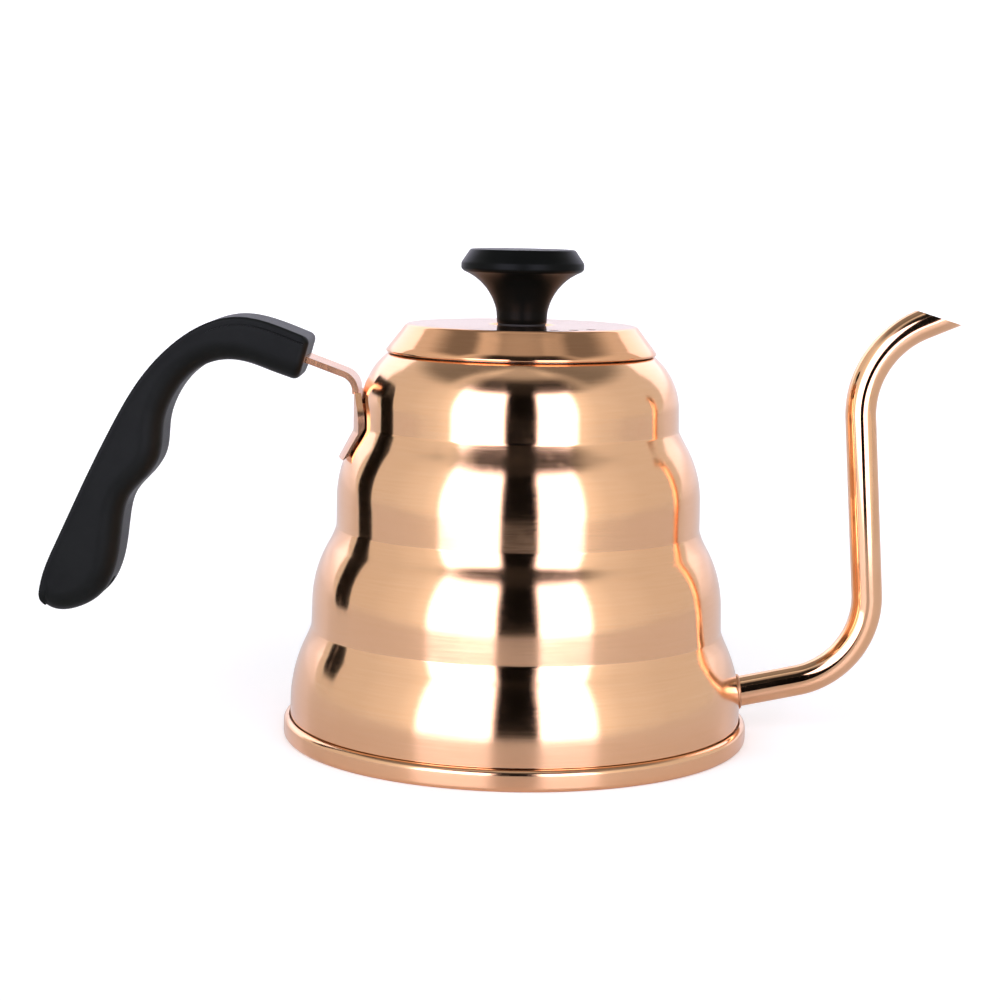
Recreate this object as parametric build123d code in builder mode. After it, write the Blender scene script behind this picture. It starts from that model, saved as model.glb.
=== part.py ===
from build123d import *
import os
from math import cos, radians, sin

# Stovetop gooseneck kettle. Millimetres. +Z is up, +X points to the spout and -X to the handle.
# The origin is the centre of the flat base, on the surface that the kettle stands on.

# ---------------------------------------------------------------- driving dimensions

SHEET = 0.6                 # body and lid sheet thickness
BASE_R = 73.0               # outside radius of the base ring
BASE_H = 6.5                # height of the base ring
CAP_SHEET = 0.8             # base cap sheet thickness
FLOOR_Z = 4.0               # underside of the body's floor
BODY_R = 70.9               # lowest and widest tier
MOUTH_R = 39.4              # edge of the mouth
MOUTH_Z = 120.6

LID_R = 42.0                # widest radius of the lid
LID_RIM_Z = 121.6           # height of that widest radius
LID_LIP_Z = 120.85          # lowest edge of the lid's rolled lip
LID_TOP_Z = 129.7
LID_CONE_TOP_R = 35.8       # where the cone would meet the flat top
VENT_R = 1.5
VENT_PITCH_R = 30.5
VENT_ANGLES = (-47.0, -59.3, -71.6)

SPOUT_OD = 9.6
SPOUT_WALL = 0.8
ROOT_SLOPE = 12.0           # degrees above level where the tube leaves the body
LOWER_BEND_R = 27.0
UPRIGHT_LEAN = 4.2          # degrees that the upright run leans back
UPRIGHT_LENGTH = 55.5
UPPER_BEND_R = 29.8
TIP_SLOPE = 23.0            # degrees above level at the tip

STRAP_W = 17.5              # handle bracket
STRAP_T = 1.9
PAD_GAP = 0.45
PAD_W = 32.0
TANG_SLOPE = 20.0           # degrees that the tang rises towards the grip

GRIP_W = 26.4               # handle moulding
COVER_W = 24.0
COVER_T = 2.4

KNOB_FOOT_R = 7.7
KNOB_EDGE_R = 19.05
KNOB_TOP_R = 16.2
KNOB_FOOT_Z = 130.0
KNOB_TOP_Z = 152.9

SCREW_R = 2.0               # M4 screws
SCREW_HEAD_R = 3.7
RUNNING_GAP = 0.05          # round a screw in a tapped hole
CLEARANCE = 0.2             # round a screw in a plain hole
THROUGH = 12.0              # depth of a cut that only has to pass right through

# ---------------------------------------------------------------- body shell

# Each tier: foot of its wall, top of its straight wall, turn of its shoulder, crease above it.
TIERS = (
    ((BODY_R, 7.0), (BODY_R, 10.5), (66.3, 30.3), (64.6, 34.6)),
    ((64.5, 35.0), (64.3, 43.0), (59.2, 61.0), (57.0, 66.2)),
    ((56.9, 66.6), (56.85, 75.5), (52.0, 93.0), (49.7, 97.4)),
)
TOP_WALL = ((49.6, 97.8), (49.45, 104.5))
TOP_SHOULDER = (42.0, 120.0)
FLOOR_CORNER_R = 3.0


def vessel_curve():
    """Outside of the body from the middle of its floor to the edge of the mouth."""
    Line((0, FLOOR_Z), (BODY_R - FLOOR_CORNER_R, FLOOR_Z))
    previous = RadiusArc(
        (BODY_R - FLOOR_CORNER_R, FLOOR_Z), (BODY_R, FLOOR_Z + FLOOR_CORNER_R), -FLOOR_CORNER_R
    )
    for foot, wall_top, turn, crease in TIERS:
        if (previous @ 1 - Vector(*foot)).length > 0.001:
            Line(previous @ 1, foot)
        wall = Line(foot, wall_top)
        shoulder = TangentArc(wall_top, turn, tangent=wall % 1)
        previous = TangentArc(turn, crease, tangent=shoulder % 1)
    Line(previous @ 1, TOP_WALL[0])
    wall = Line(*TOP_WALL)
    shoulder = TangentArc(TOP_WALL[1], TOP_SHOULDER, tangent=wall % 1)
    TangentArc(TOP_SHOULDER, (MOUTH_R, MOUTH_Z), tangent=shoulder % 1)


# Solid block with the body's outside shape. It only trims the pieces that meet the body.
with BuildPart() as envelope:
    with BuildSketch(Plane.XZ):
        with BuildLine():
            vessel_curve()
            Polyline((MOUTH_R, MOUTH_Z), (0, MOUTH_Z), (0, FLOOR_Z))
        make_face()
    revolve(axis=Axis.Z)

# Where the spout's axis meets the body, and the tube's direction there.
ROOT = Vector(70.6, 0, 14.75)
ROOT_DIR = Vector(cos(radians(ROOT_SLOPE)), 0, sin(radians(ROOT_SLOPE)))
ROOT_RUN = 18.8             # straight run from the body to the lower bend
ROOT_OVERLAP = 4.0          # start of the tube inside the body, trimmed off afterwards
TIP_RUN = 14.0              # straight run to beyond the tip, cut on a slant afterwards
SPOUT_BORE_R = SPOUT_OD / 2 - SPOUT_WALL

with BuildPart() as body_shell:
    with BuildSketch(Plane.XZ):
        with BuildLine():
            vessel_curve()
            offset(amount=SHEET, side=Side.LEFT)
        make_face()
    revolve(axis=Axis.Z)
    with BuildSketch(Plane(origin=ROOT - ROOT_DIR * THROUGH / 2, z_dir=ROOT_DIR)):
        Circle(SPOUT_BORE_R)
    extrude(amount=THROUGH, mode=Mode.SUBTRACT)

# ---------------------------------------------------------------- capsule base

BASE_ROUND = 1.6            # outside radius where the underside turns up
ROLL_R = 1.7                # rolled edge on top of the ring

with BuildPart() as base_cap:
    with BuildSketch(Plane.XZ):
        with BuildLine():
            Polyline((0, 0), (BASE_R - BASE_ROUND, 0))
            RadiusArc((BASE_R - BASE_ROUND, 0), (BASE_R, BASE_ROUND), -BASE_ROUND)
            Line((BASE_R, BASE_ROUND), (BASE_R, BASE_H - ROLL_R))
            RadiusArc((BASE_R, BASE_H - ROLL_R), (BASE_R - ROLL_R, BASE_H), -ROLL_R)
            Polyline(
                (BASE_R - ROLL_R, BASE_H),
                (BASE_R - ROLL_R, BASE_H - CAP_SHEET),
                (BASE_R - CAP_SHEET, BASE_H - 2.0),
                (BASE_R - CAP_SHEET, BASE_ROUND),
            )
            RadiusArc(
                (BASE_R - CAP_SHEET, BASE_ROUND), (BASE_R - BASE_ROUND, CAP_SHEET), BASE_ROUND - CAP_SHEET
            )
            Polyline((BASE_R - BASE_ROUND, CAP_SHEET), (0, CAP_SHEET), (0, 0))
        make_face()
    revolve(axis=Axis.Z)

with BuildPart() as heat_spreader:
    with BuildSketch(Plane.XY.offset(CAP_SHEET)):
        Circle(BASE_R - 3.0)
    extrude(amount=FLOOR_Z - CAP_SHEET)
    chamfer(heat_spreader.edges().filter_by(GeomType.CIRCLE), 0.4)

# ---------------------------------------------------------------- mouth collar

COLLAR_OUT_R = MOUTH_R - 0.1
COLLAR_IN_R = COLLAR_OUT_R - SHEET
COLLAR_TOP_Z = MOUTH_Z + 0.6
COLLAR_LOW_Z = 109.0
COLLAR_ROUND = 0.5

with BuildPart() as mouth_collar:
    with BuildSketch(Plane.XZ):
        with BuildLine():
            Polyline(
                (COLLAR_IN_R, COLLAR_LOW_Z),
                (COLLAR_OUT_R, COLLAR_LOW_Z),
                (COLLAR_OUT_R, MOUTH_Z + 0.1),
                (MOUTH_R + 0.7, MOUTH_Z + 0.1),
                (MOUTH_R + 0.7, COLLAR_TOP_Z),
                (COLLAR_IN_R + COLLAR_ROUND, COLLAR_TOP_Z),
            )
            RadiusArc(
                (COLLAR_IN_R + COLLAR_ROUND, COLLAR_TOP_Z),
                (COLLAR_IN_R, COLLAR_TOP_Z - COLLAR_ROUND),
                -COLLAR_ROUND,
            )
            Line((COLLAR_IN_R, COLLAR_TOP_Z - COLLAR_ROUND), (COLLAR_IN_R, COLLAR_LOW_Z))
        make_face()
    revolve(axis=Axis.Z)

# ---------------------------------------------------------------- spout

with BuildLine(Plane.XZ) as spout_path:
    start = (ROOT.X - ROOT_OVERLAP * ROOT_DIR.X, ROOT.Z - ROOT_OVERLAP * ROOT_DIR.Z)
    root_run = PolarLine(start, ROOT_RUN + ROOT_OVERLAP, ROOT_SLOPE)
    lower_bend = JernArc(root_run @ 1, root_run % 1, LOWER_BEND_R, 90 + UPRIGHT_LEAN - ROOT_SLOPE)
    upright = PolarLine(lower_bend @ 1, UPRIGHT_LENGTH, 90 + UPRIGHT_LEAN)
    upper_bend = JernArc(upright @ 1, upright % 1, UPPER_BEND_R, TIP_SLOPE - 90 - UPRIGHT_LEAN)
    PolarLine(upper_bend @ 1, TIP_RUN, TIP_SLOPE)

# The tip is cut on a slant, from the back of the tube down to a pointed lip.
TIP_BACK = Vector(123.0, 0, 136.0)
TIP_LIP = Vector(135.7, 0, 132.1)
TIP_CUT = Plane(origin=TIP_BACK, z_dir=(TIP_LIP - TIP_BACK).cross(Vector(0, 1, 0)))

with BuildPart() as spout_tube:
    with BuildSketch(Plane(origin=spout_path.wire() @ 0, z_dir=ROOT_DIR)):
        Circle(SPOUT_OD / 2)
        Circle(SPOUT_BORE_R, mode=Mode.SUBTRACT)
    sweep(path=spout_path.wire())
    add(envelope.part, mode=Mode.SUBTRACT)
    split(bisect_by=TIP_CUT, keep=Keep.BOTTOM)

BEAD_R = 0.65
BEAD_TILT = 5.4             # degrees that the body's wall leans where the bead lies on it

with BuildPart() as spout_weld:
    bead_axis = Vector(cos(radians(BEAD_TILT)), 0, sin(radians(BEAD_TILT)))
    with Locations(Plane(origin=ROOT + bead_axis * 0.1, z_dir=bead_axis)):
        Torus(SPOUT_OD / 2 + 0.1, BEAD_R)
    add(envelope.part, mode=Mode.SUBTRACT)
    with BuildSketch(Plane(origin=ROOT - ROOT_DIR * THROUGH / 2, z_dir=ROOT_DIR)):
        Circle(SPOUT_OD / 2)
    extrude(amount=THROUGH, mode=Mode.SUBTRACT)

# ---------------------------------------------------------------- handle bracket

PAD_IN_R = 49.5 + PAD_GAP
PAD_OUT_R = PAD_IN_R + STRAP_T
PAD_TOP_Z = 108.3
PAD_LOW_Z = 88.3
PAD_KNEE_Z = 97.2
PAD_FLARE = 4.7             # how far the foot spreads outwards below the knee
STRAP_BEND_R = 6.5
TANG_BEND_Z = 113.2         # where the pad's inner face and the tang's top face would meet
TANG_LENGTH = 40.0
TANG_DIR = Vector(-cos(radians(TANG_SLOPE)), 0, sin(radians(TANG_SLOPE)))
TANG_UP = Vector(sin(radians(TANG_SLOPE)), 0, cos(radians(TANG_SLOPE)))
TANG_CORNER = Vector(-PAD_IN_R, 0, TANG_BEND_Z)
TANG_END = (TANG_CORNER.X + TANG_LENGTH * TANG_DIR.X, TANG_CORNER.Z + TANG_LENGTH * TANG_DIR.Z)
TANG_SCREW_STATIONS = (24.5, 32.5)


def tang_plane(station, height=0.0):
    """Plane on the tang's top face, square to it, a station along it from the bend."""
    return Plane(origin=TANG_CORNER + TANG_DIR * station + TANG_UP * height, x_dir=TANG_DIR, z_dir=TANG_UP)


TANG_SCREW_PLANES = [tang_plane(station) for station in TANG_SCREW_STATIONS]

with BuildPart() as handle_bracket:
    # pad: a band that follows the top tier and flares over the shoulder below
    with BuildSketch(Plane.XZ):
        with BuildLine():
            Polyline(
                (-PAD_IN_R, PAD_TOP_Z),
                (-PAD_IN_R, PAD_KNEE_Z + 0.9),
                (-PAD_IN_R - PAD_FLARE, PAD_LOW_Z + 0.9),
                (-PAD_OUT_R - PAD_FLARE + 0.3, PAD_LOW_Z - 0.3),
                (-PAD_OUT_R, PAD_KNEE_Z - 0.9),
                (-PAD_OUT_R, PAD_TOP_Z),
                close=True,
            )
        make_face()
    revolve(axis=Axis.Z)
    # the pad's front view: narrow where the strap leaves it, wide over the weld, round corners
    with BuildSketch(Plane.YZ.offset(-80)) as pad_front:
        with BuildLine():
            Polyline(
                (-STRAP_W / 2, PAD_TOP_Z + 1),
                (-PAD_W / 2, 101.5),
                (-PAD_W / 2, 80),
                (PAD_W / 2, 80),
                (PAD_W / 2, 101.5),
                (STRAP_W / 2, PAD_TOP_Z + 1),
                close=True,
            )
        make_face()
        fillet(pad_front.vertices().group_by(Axis.Y)[1], 8)
    extrude(amount=80, mode=Mode.INTERSECT)
    # strap: bends away from the pad and runs up into the grip
    with BuildSketch(Plane.XZ):
        with BuildLine():
            FilletPolyline(
                (-PAD_IN_R, PAD_TOP_Z - 0.5),
                (-PAD_IN_R, TANG_BEND_Z),
                TANG_END,
                radius=STRAP_BEND_R,
            )
            offset(amount=STRAP_T, side=Side.LEFT)
        make_face()
    extrude(amount=STRAP_W / 2, both=True)
    # clearance holes for the two grip screws
    with Locations(*TANG_SCREW_PLANES):
        Cylinder(SCREW_R + CLEARANCE, THROUGH, mode=Mode.SUBTRACT)

SPOT_WELDS = ((-9.0, 103.0), (9.0, 103.0), (-10.0, 93.0), (10.0, 93.0))

with BuildPart() as bracket_welds:
    # nuggets that bridge the gap between the pad and the body
    for side, height in SPOT_WELDS:
        with BuildSketch(Plane(origin=(-PAD_OUT_R - 6, side, height), z_dir=(1, 0, 0))):
            Circle(2.0)
        extrude(amount=16)
    add(envelope.part, mode=Mode.SUBTRACT)
    add(handle_bracket.part, mode=Mode.SUBTRACT)
    with BuildSketch(Plane.XZ):
        with BuildLine():
            Polyline(
                (-PAD_IN_R - 0.4, PAD_TOP_Z),
                (-PAD_IN_R - 0.4, PAD_KNEE_Z + 0.9),
                (-PAD_IN_R - PAD_FLARE - 0.4, PAD_LOW_Z + 0.9),
                (-30, PAD_LOW_Z + 0.9),
                (-30, PAD_TOP_Z),
                close=True,
            )
        make_face()
    revolve(axis=Axis.Z, mode=Mode.INTERSECT)

# ---------------------------------------------------------------- grip

SPINE_FOOT = (-148.8, 44.5)
NOSE_TOP = (-64.6, 124.8)
NOSE_LOW = (-68.3, 111.4)
SEAM_X = -66.8              # where the cover stops short of the nose


# Back of the handle, from its lower end up and over to the nose.
with BuildLine() as spine:
    Spline(
        SPINE_FOOT,
        (-143.4, 60.1),
        (-134.6, 79.1),
        (-125.2, 97.9),
        (-117.8, 110.4),
        (-108.0, 121.5),
        (-98.0, 128.3),
        (-86.3, 131.1),
        (-76.1, 129.1),
        NOSE_TOP,
        tangents=((0.139, 1), (1, -0.38)),
    )


def under_spine(fraction):
    """Point one cover thickness inside the back of the handle."""
    along = spine.line % fraction
    return spine.line @ fraction + Vector(along.Y, -along.X) * COVER_T


def grip_outline():
    """Side view of the handle, cover included."""
    add(spine.line)
    Line(NOSE_TOP, NOSE_LOW)
    # under the nose, hook over the first finger, two finger rests, round heel
    Spline(
        NOSE_LOW,
        (-76.7, 114.3),
        (-86.6, 117.4),
        (-96.1, 116.5),
        (-102.9, 111.9),
        (-107.6, 105.2),
        (-110.1, 97.8),
        (-111.4, 87.4),
        (-115.8, 80.4),
        (-120.9, 74.4),
        (-123.0, 66.8),
        (-124.8, 54.5),
        (-130.6, 43.0),
        (-137.4, 39.2),
        (-143.6, 38.5),
        (-147.7, 40.7),
        SPINE_FOOT,
        tangents=((-1, 0.36), (0.139, 1)),
    )


# Side view of the strip that belongs to the cover. It stops short of the nose.
with BuildSketch(Plane.XZ) as cover_band:
    with BuildLine():
        add(spine.line)
        below_foot = PolarLine(SPINE_FOOT, 12, direction=-(spine.line % 0))
        inside_foot = PolarLine(under_spine(0), 12, direction=-(spine.line % 0))
        Line(below_foot @ 1, inside_foot @ 1)
        Spline(*[under_spine(step / 12) for step in range(13)])
        Line(under_spine(1), NOSE_TOP)
    make_face()
    with Locations((SEAM_X + 10, NOSE_TOP[1])):
        Rectangle(20, 30, mode=Mode.SUBTRACT)


# The cover's screw enters the finger side near the heel and runs up to the cover.
COVER_SCREW_SLOPE = 146.0
COVER_SCREW_DIR = Vector(cos(radians(COVER_SCREW_SLOPE)), 0, sin(radians(COVER_SCREW_SLOPE)))
COVER_SCREW_MOUTH = Vector(-129.2, 0, 44.7)


def cover_screw_plane(depth):
    """Plane square to the cover's screw, a depth in from the finger side."""
    return Plane(origin=COVER_SCREW_MOUTH + COVER_SCREW_DIR * depth, z_dir=COVER_SCREW_DIR)


COVER_HEAD_SEAT = 5.4       # depths along that screw
BOSS_START = 10.5
INSERT_END = 16.2
BOSS_R = 4.4
INSERT_R = 2.9
HEAD_RECESS_R = SCREW_HEAD_R + 0.5
HEAD_H = 2.2
NUT_BAR_T = 3.0
NUT_BAR_W = 10.0
NUT_BAR_MIDDLE = sum(TANG_SCREW_STATIONS) / 2
NUT_BAR_LENGTH = 22.0
ROOF = 0.5                  # plastic between a grip screw's head and the tang
PLASTIC_GAP = 0.15          # round the metal pieces inside the grip
FINGER_ROUND = 6.5          # edge rounding on the finger side, at the nose and on the cover
NOSE_ROUND = 2.2
NOSE_SIDE_ROUND = 2.5
NOSE_LOW_ROUND = 2.4
HANDLE_REACH = 150.0        # more than the handle's length and height
NOSE_UP = (Vector(NOSE_TOP) - Vector(NOSE_LOW)).normalized()
nose_plane = Plane(
    origin=(NOSE_LOW[0], 0, NOSE_LOW[1]), x_dir=(NOSE_UP.Y, 0, -NOSE_UP.X), z_dir=(NOSE_UP.X, 0, NOSE_UP.Y)
)
COVER_ROUND = 1.0
FOOT_Z = 38.9               # just below the cover's foot
FOOT_ROUND = 6.0

with BuildPart() as grip:
    with BuildSketch(Plane.XZ.offset(-GRIP_W / 2)):
        with BuildLine():
            grip_outline()
        make_face()
        add(cover_band.sketch, mode=Mode.SUBTRACT)
    extrude(amount=GRIP_W)
    side_edges = grip.faces().filter_by(Axis.Y).edges()
    fillet(side_edges.filter_by(lambda edge: (edge @ 0.5).X > -120 and edge.length > 130), FINGER_ROUND)
    # nose: upright edges rounded in plan, then the lower edge and the upper one
    with BuildSketch(nose_plane.offset(-HANDLE_REACH)) as nose_plan:
        with Locations((-HANDLE_REACH / 2, 0)):
            Rectangle(HANDLE_REACH, GRIP_W)
        fillet(nose_plan.vertices().group_by(Axis.X)[-1], NOSE_SIDE_ROUND)
    extrude(amount=2 * HANDLE_REACH, mode=Mode.INTERSECT)
    nose_faces = grip.faces().filter_by(GeomType.PLANE)
    nose_faces = nose_faces.filter_by(lambda face: face.normal_at().dot(nose_plane.x_dir) > 0.99)
    nose_rim = nose_faces.sort_by(SortBy.AREA)[-1].outer_wire().edges()
    fillet(nose_rim.filter_by(lambda edge: (edge @ 0.5).Z < NOSE_LOW[1] + 1.5), NOSE_LOW_ROUND)
    top_edges = grip.edges().filter_by(lambda edge: (edge @ 0.5).X > SEAM_X + 0.1)
    top_edges = top_edges.filter_by(lambda edge: (edge @ 0.5).Z > NOSE_TOP[1] - 1.5)
    fillet(top_edges.filter_by(Axis.Y), NOSE_ROUND)
    # slot for the tang and, under it, the pocket for the nut bar
    with BuildSketch(tang_plane(TANG_LENGTH / 2 + 0.5, PLASTIC_GAP)):
        Rectangle(TANG_LENGTH, STRAP_W + 2 * PLASTIC_GAP)
    extrude(amount=-STRAP_T - 2 * PLASTIC_GAP, mode=Mode.SUBTRACT)
    with BuildSketch(tang_plane(NUT_BAR_MIDDLE, -STRAP_T)):
        Rectangle(NUT_BAR_LENGTH + 2 * PLASTIC_GAP, NUT_BAR_W + 2 * PLASTIC_GAP)
    extrude(amount=-NUT_BAR_T - PLASTIC_GAP, mode=Mode.SUBTRACT)
    # seats for the two grip screws, open under the cover
    for plane in TANG_SCREW_PLANES:
        with BuildSketch(plane):
            Circle(SCREW_R + CLEARANCE)
        extrude(amount=THROUGH, mode=Mode.SUBTRACT)
        with BuildSketch(plane.offset(ROOF)):
            Circle(HEAD_RECESS_R)
        extrude(amount=THROUGH, mode=Mode.SUBTRACT)
    # recess and hole for the cover's screw, and the pocket for the cover's boss
    with BuildSketch(cover_screw_plane(COVER_HEAD_SEAT)):
        Circle(HEAD_RECESS_R)
    extrude(amount=-THROUGH, mode=Mode.SUBTRACT)
    with BuildSketch(cover_screw_plane(COVER_HEAD_SEAT)):
        Circle(SCREW_R + CLEARANCE)
    extrude(amount=THROUGH, mode=Mode.SUBTRACT)
    with BuildSketch(cover_screw_plane(BOSS_START - PLASTIC_GAP)):
        Circle(BOSS_R + PLASTIC_GAP)
    extrude(amount=THROUGH, mode=Mode.SUBTRACT)

with BuildPart() as grip_cover:
    with BuildSketch(Plane.XZ.offset(-COVER_W / 2)):
        with BuildLine():
            grip_outline()
        make_face()
        add(cover_band.sketch, mode=Mode.INTERSECT)
    extrude(amount=COVER_W)
    long_edges = grip_cover.faces().filter_by(Axis.Y).edges().filter_by(lambda edge: edge.length > 100)
    fillet(long_edges.group_by(SortBy.LENGTH)[-1], COVER_ROUND)
    # corners of the foot rounded like the heel beside it
    with BuildSketch(Plane.YZ.offset(-HANDLE_REACH - 10)) as foot_plan:
        with Locations((0, FOOT_Z + HANDLE_REACH / 2)):
            Rectangle(COVER_W, HANDLE_REACH)
        fillet(foot_plan.vertices().group_by(Axis.Y)[0], FOOT_ROUND)
    extrude(amount=HANDLE_REACH, mode=Mode.INTERSECT)
    # boss for the screw, with the insert's hole
    with BuildSketch(cover_screw_plane(BOSS_START)):
        Circle(BOSS_R)
    extrude(until=Until.NEXT)
    with BuildSketch(cover_screw_plane(BOSS_START)):
        Circle(INSERT_R)
    extrude(amount=INSERT_END - BOSS_START, mode=Mode.SUBTRACT)

with BuildPart() as cover_insert:
    with BuildSketch(cover_screw_plane(BOSS_START)):
        Circle(INSERT_R)
        Circle(SCREW_R + RUNNING_GAP, mode=Mode.SUBTRACT)
    extrude(amount=INSERT_END - BOSS_START)

with BuildPart() as tang_nut_bar:
    with BuildSketch(tang_plane(NUT_BAR_MIDDLE, -STRAP_T)):
        RectangleRounded(NUT_BAR_LENGTH, NUT_BAR_W, 2)
    extrude(amount=-NUT_BAR_T)
    with Locations(*TANG_SCREW_PLANES):
        Cylinder(SCREW_R + RUNNING_GAP, 2 * THROUGH, mode=Mode.SUBTRACT)

# ---------------------------------------------------------------- lid

LID_UNDER_Z = LID_TOP_Z - SHEET
DISH_R = 9.8                # shallow dish under the knob's foot
DISH_DEPTH = 0.5
CONE_RUN = Vector(LID_CONE_TOP_R - LID_R, LID_TOP_Z - LID_RIM_Z)
CONE_IN = Vector(-CONE_RUN.Y, CONE_RUN.X).normalized() * SHEET
RIM_UNDER = Vector(LID_R, LID_RIM_Z) + CONE_IN


def cone_under(height):
    """Radius of the cone's inner face at a height."""
    return RIM_UNDER.X + CONE_RUN.X * (height - RIM_UNDER.Y) / CONE_RUN.Y


with BuildPart() as lid_cover:
    with BuildSketch(Plane.XZ) as lid_section:
        with BuildLine():
            Polyline(
                (RIM_UNDER.X - 0.25, LID_LIP_Z + 0.2),
                (cone_under(LID_RIM_Z + 0.2), LID_RIM_Z + 0.2),
                (cone_under(LID_UNDER_Z), LID_UNDER_Z),
                (DISH_R + 0.6, LID_UNDER_Z),
                (DISH_R, LID_UNDER_Z - DISH_DEPTH),
                (SCREW_R + CLEARANCE, LID_UNDER_Z - DISH_DEPTH),
                (SCREW_R + CLEARANCE, LID_TOP_Z - DISH_DEPTH),
                (DISH_R, LID_TOP_Z - DISH_DEPTH),
                (DISH_R + 0.6, LID_TOP_Z),
                (LID_CONE_TOP_R, LID_TOP_Z),
                (LID_R, LID_RIM_Z),
            )
            lip = TangentArc((LID_R, LID_RIM_Z), (LID_R - 0.6, LID_LIP_Z), tangent=(0.4, -1))
            Line(lip @ 1, (RIM_UNDER.X - 0.25, LID_LIP_Z + 0.2))
        make_face()
        fillet(lid_section.vertices().sort_by_distance((LID_CONE_TOP_R, LID_TOP_Z))[0], 1.0)
    revolve(axis=Axis.Z)
    with BuildSketch(Plane.XY.offset(LID_TOP_Z + 1)):
        for angle in VENT_ANGLES:
            with Locations((VENT_PITCH_R * cos(radians(angle)), VENT_PITCH_R * sin(radians(angle)))):
                Circle(VENT_R)
    extrude(amount=-2 - SHEET, mode=Mode.SUBTRACT)

SKIRT_SHEET = 0.5
SKIRT_R = COLLAR_IN_R - 0.4
SKIRT_LOW_Z = 112.0
LEDGE_Z = COLLAR_TOP_Z + 0.35
FLANGE_TOP_Z = 124.6

with BuildPart() as lid_skirt:
    # plain ring, ledge over the collar, then a flange spot welded up the inside of the cone
    with BuildSketch(Plane.XZ):
        with BuildLine():
            Polyline(
                (SKIRT_R, SKIRT_LOW_Z),
                (SKIRT_R, LEDGE_Z),
                (cone_under(LEDGE_Z + 0.5) - 0.5, LEDGE_Z),
                (cone_under(LEDGE_Z + 0.5), LEDGE_Z + 0.5),
                (cone_under(FLANGE_TOP_Z), FLANGE_TOP_Z),
                (cone_under(FLANGE_TOP_Z) - 0.6, FLANGE_TOP_Z),
                (cone_under(LEDGE_Z + SKIRT_SHEET + 0.5) - 0.9, LEDGE_Z + SKIRT_SHEET),
                (SKIRT_R - SKIRT_SHEET, LEDGE_Z + SKIRT_SHEET),
                (SKIRT_R - SKIRT_SHEET, SKIRT_LOW_Z),
                close=True,
            )
        make_face()
    revolve(axis=Axis.Z)

# ---------------------------------------------------------------- knob

KNOB_INSERT_R = 3.0
KNOB_INSERT_TOP_Z = 138.6
KNOB_NECK = (KNOB_FOOT_R + 0.25, KNOB_FOOT_Z + 3.6)
KNOB_FLARE = (11.7, 141.4)  # point on the hollow curve under the head
KNOB_BROW = (18.3, 146.05)  # where that curve meets the head
KNOB_EDGE_LOW_Z = 146.9
KNOB_EDGE_TOP_Z = 148.7
DISH_TOP_Z = LID_TOP_Z - DISH_DEPTH
DISH_UNDER_Z = LID_UNDER_Z - DISH_DEPTH

with BuildPart() as knob:
    with BuildSketch(Plane.XZ) as knob_section:
        with BuildLine():
            Polyline(
                (0, KNOB_INSERT_TOP_Z),
                (KNOB_INSERT_R, KNOB_INSERT_TOP_Z),
                (KNOB_INSERT_R, KNOB_FOOT_Z),
                (KNOB_FOOT_R, KNOB_FOOT_Z),
                KNOB_NECK,
            )
            ThreePointArc(KNOB_NECK, KNOB_FLARE, KNOB_BROW)
            Polyline(
                KNOB_BROW,
                (KNOB_EDGE_R, KNOB_EDGE_LOW_Z),
                (KNOB_EDGE_R, KNOB_EDGE_TOP_Z),
                (KNOB_TOP_R, KNOB_TOP_Z),
                (0, KNOB_TOP_Z),
                (0, KNOB_INSERT_TOP_Z),
            )
        make_face()
        rim = [point for point in knob_section.vertices() if point.X > KNOB_TOP_R - 1]
        fillet(rim, 0.5)
    revolve(axis=Axis.Z)

with BuildPart() as knob_gasket:
    with BuildSketch(Plane.XY.offset(DISH_TOP_Z)):
        Circle(KNOB_FOOT_R - 0.3)
        Circle(KNOB_INSERT_R, mode=Mode.SUBTRACT)
    extrude(amount=KNOB_FOOT_Z - DISH_TOP_Z)

with BuildPart() as knob_insert:
    with BuildSketch(Plane.XY.offset(KNOB_FOOT_Z)):
        Circle(KNOB_INSERT_R)
        Circle(SCREW_R + RUNNING_GAP, mode=Mode.SUBTRACT)
    extrude(amount=KNOB_INSERT_TOP_Z - KNOB_FOOT_Z)

WASHER_R = 6.0
WASHER_T = 1.0
LOCK_WASHER_R = 3.6
LOCK_WASHER_T = 0.9
KNOB_SCREW_LENGTH = 9.5

with BuildPart() as knob_washer:
    with BuildSketch(Plane.XY.offset(DISH_UNDER_Z)):
        Circle(WASHER_R)
        Circle(SCREW_R + CLEARANCE, mode=Mode.SUBTRACT)
    extrude(amount=-WASHER_T)

with BuildPart() as knob_lock_washer:
    # split spring washer
    with BuildSketch(Plane.XY.offset(DISH_UNDER_Z - WASHER_T)):
        Circle(LOCK_WASHER_R)
        Circle(SCREW_R + CLEARANCE / 2, mode=Mode.SUBTRACT)
        with Locations((LOCK_WASHER_R, 0)):
            Rectangle(LOCK_WASHER_R + 1, 0.6, rotation=20, mode=Mode.SUBTRACT)
    extrude(amount=-LOCK_WASHER_T)

# ---------------------------------------------------------------- screws

DRIVE_LENGTH = 3.6          # cross recess in the head
DRIVE_WIDTH = 0.9
DRIVE_DEPTH = 1.3
HEAD_ROUND = 1.1

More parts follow.
